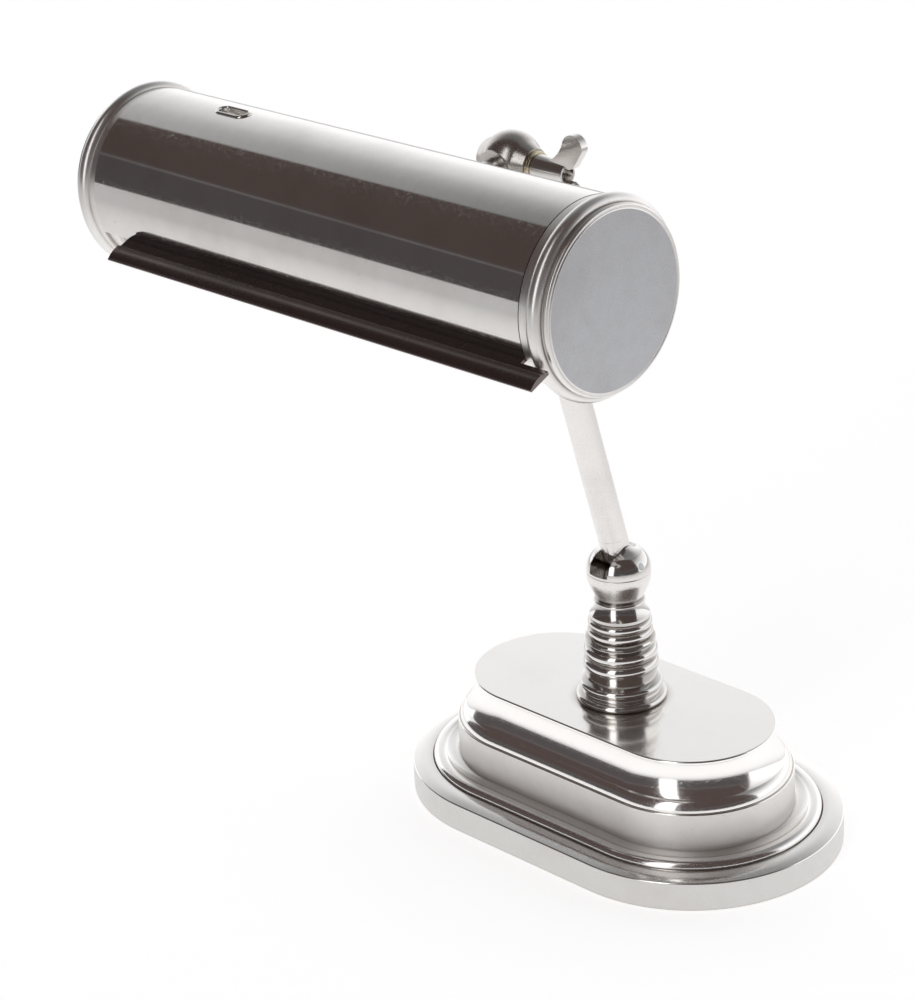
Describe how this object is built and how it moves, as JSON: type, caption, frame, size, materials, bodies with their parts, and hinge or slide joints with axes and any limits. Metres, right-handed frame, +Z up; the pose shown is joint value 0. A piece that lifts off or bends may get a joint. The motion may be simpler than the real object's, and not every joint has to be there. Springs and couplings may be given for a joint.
{
  "type": "bankers lamp",
  "caption": "Desk lamp with a stepped oval metal base, a turned column, a swivelling and leaning arm and a tubular metal shade clamped by a wing nut.",
  "frame": {"origin": "middle of the felt pad's underside, on the table, on the column's axis", "axes": "+Z up, +X along the base's length and the shade, -Y the front, towards which the arm leans and the shade reaches"},
  "size_m": [0.2508, 0.2443, 0.3357],
  "materials": {
    "polished_plate": "polished antique silver plate",
    "satin_plate": "satin antique silver plate",
    "dark_plate": "dark tarnished plate",
    "cast_iron": "plain casting",
    "plain_steel": "zinc plated",
    "brass": "turned brass",
    "felt": "pressed felt",
    "black_moulding": "moulded phenolic",
    "bulb_metal": "bulb cap",
    "bulb_glass": "frosted glass"
  },
  "bodies": {
    "base": {"base_cover": "polished_plate", "base_weight": "cast_iron", "bottom_plate": "plain_steel", "felt_pad": "felt", "plate_screws": "plain_steel", "cord_inlet": "brass", "column": "polished_plate", "threaded_pipe": "plain_steel", "pipe_washer": "plain_steel", "pipe_nut": "brass", "swivel_cup": "satin_plate", "swivel_spring": "plain_steel"},
    "swivel_head": {"swivel_dome": "polished_plate", "swivel_rivet": "brass", "tilt_pin": "plain_steel"},
    "arm": {"tilt_shims": "brass", "arm_tang": "satin_plate", "arm_tube": "satin_plate", "arm_eye": "satin_plate"},
    "clamp": {"wing_nut": "polished_plate"},
    "shade": {"knuckle_ball": "polished_plate", "knuckle_bolt": "polished_plate", "knuckle_washers": "brass", "shade_stem": "satin_plate", "stem_collar": "polished_plate", "stem_nut": "brass", "shade_tube": "polished_plate", "shade_lip": "dark_plate", "end_cap_right": "satin_plate", "end_cap_left": "satin_plate", "holder_bracket": "plain_steel", "holder_nut": "brass", "lampholder": "black_moulding", "holder_contact": "brass", "bulb_cap": "bulb_metal", "bulb_glass": "bulb_glass"}
  },
  "joints": [
    {"name": "column_swivel", "type": "hinge", "parent": "base", "child": "swivel_head", "pos_m": [0, 0, 0.1136], "axis": [0, 0, 1], "range_deg": [-170, 170]},
    {"name": "arm_tilt", "type": "hinge", "parent": "swivel_head", "child": "arm", "pos_m": [0, 0, 0.1184], "axis": [1, 0, 0], "range_deg": [-16.4, 48.6]},
    {"name": "shade_tilt", "type": "hinge", "parent": "arm", "child": "shade", "pos_m": [0, -0.05527, 0.30619], "axis": [1, 0, 0], "range_deg": [-60, 30]},
    {"name": "wing_nut_turn", "type": "hinge", "parent": "shade", "child": "clamp", "pos_m": [0.02, -0.05527, 0.30619], "axis": [1, 0, 0], "range_deg": [0, 360]}
  ]
}
